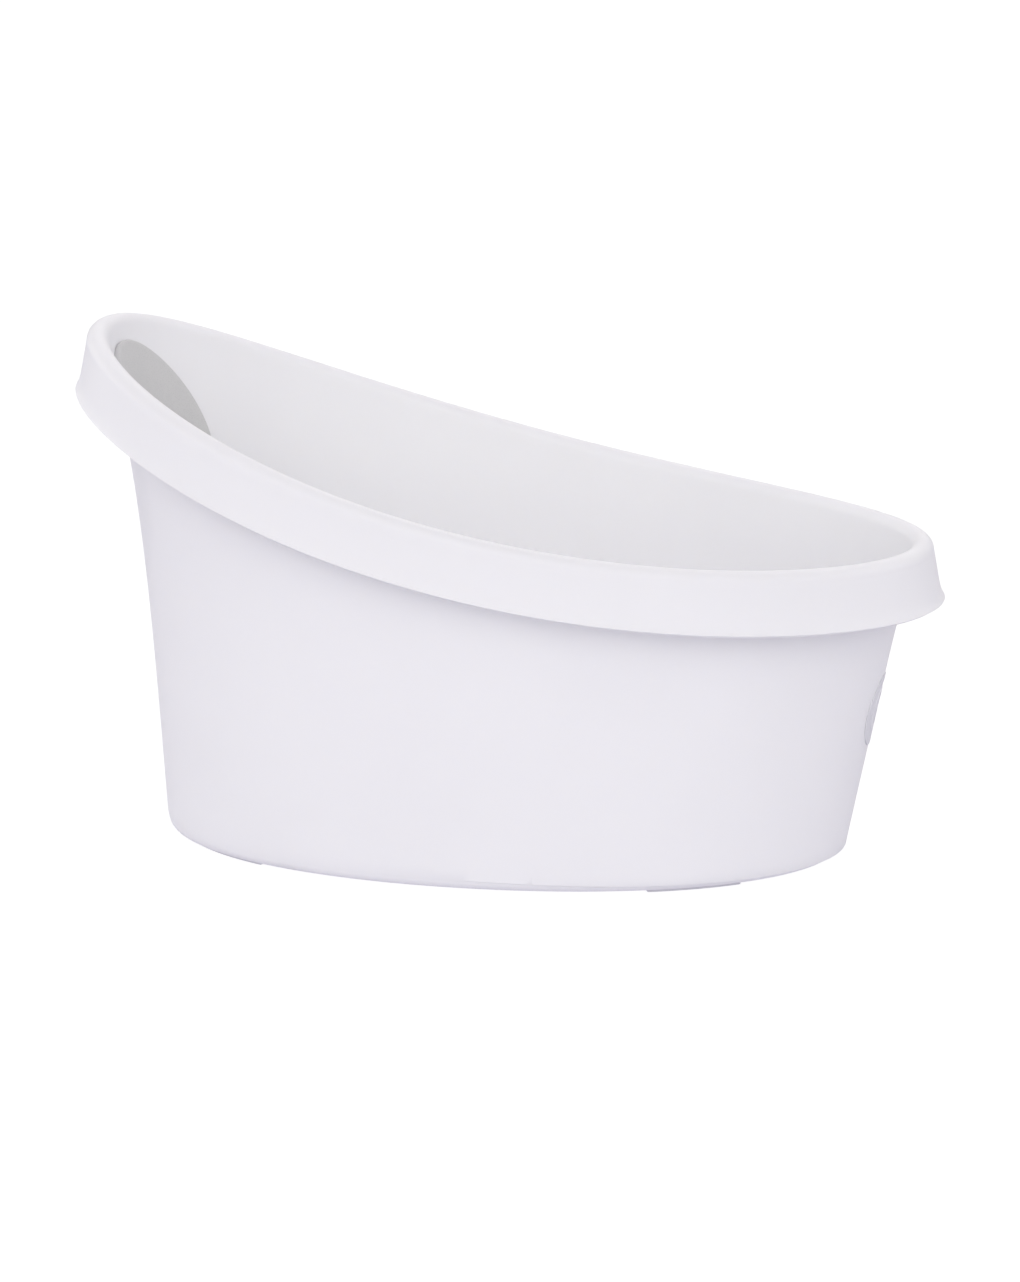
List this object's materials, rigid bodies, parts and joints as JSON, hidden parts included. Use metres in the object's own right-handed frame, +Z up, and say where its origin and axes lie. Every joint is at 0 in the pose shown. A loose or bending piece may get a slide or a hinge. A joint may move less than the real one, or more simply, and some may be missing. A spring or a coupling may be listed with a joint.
{
  "type": "baby bath tub",
  "caption": "Free-standing upright baby bath tub with a high sloping back, low toe end, rolled rim with skirt, foam backrest pad, rubber feet and a pull-out drain plug.",
  "frame": {"origin": "on the ground under the middle of the rim's length and width", "axes": "+Z up, +X towards the low toe end, -X towards the high back end, Y across the tub"},
  "size_m": [0.58, 0.375, 0.3447],
  "materials": {
    "shell_plastic": "satin moulded polypropylene",
    "pad_foam": "closed-cell foam, matt",
    "badge_plastic": "satin",
    "soft_rubber": "matt thermoplastic rubber"
  },
  "bodies": {
    "tub": {"tub_shell": "shell_plastic", "backrest_pad": "pad_foam", "badge": "badge_plastic", "foot_head_near": "soft_rubber", "foot_head_far": "soft_rubber", "foot_toe_near": "soft_rubber", "foot_toe_far": "soft_rubber"},
    "plug": {"drain_plug": "soft_rubber"}
  },
  "joints": [
    {"name": "plug_lift", "type": "slide", "parent": "tub", "child": "plug", "axis": [0, 0, 1], "range_m": [0, 0.08]}
  ]
}
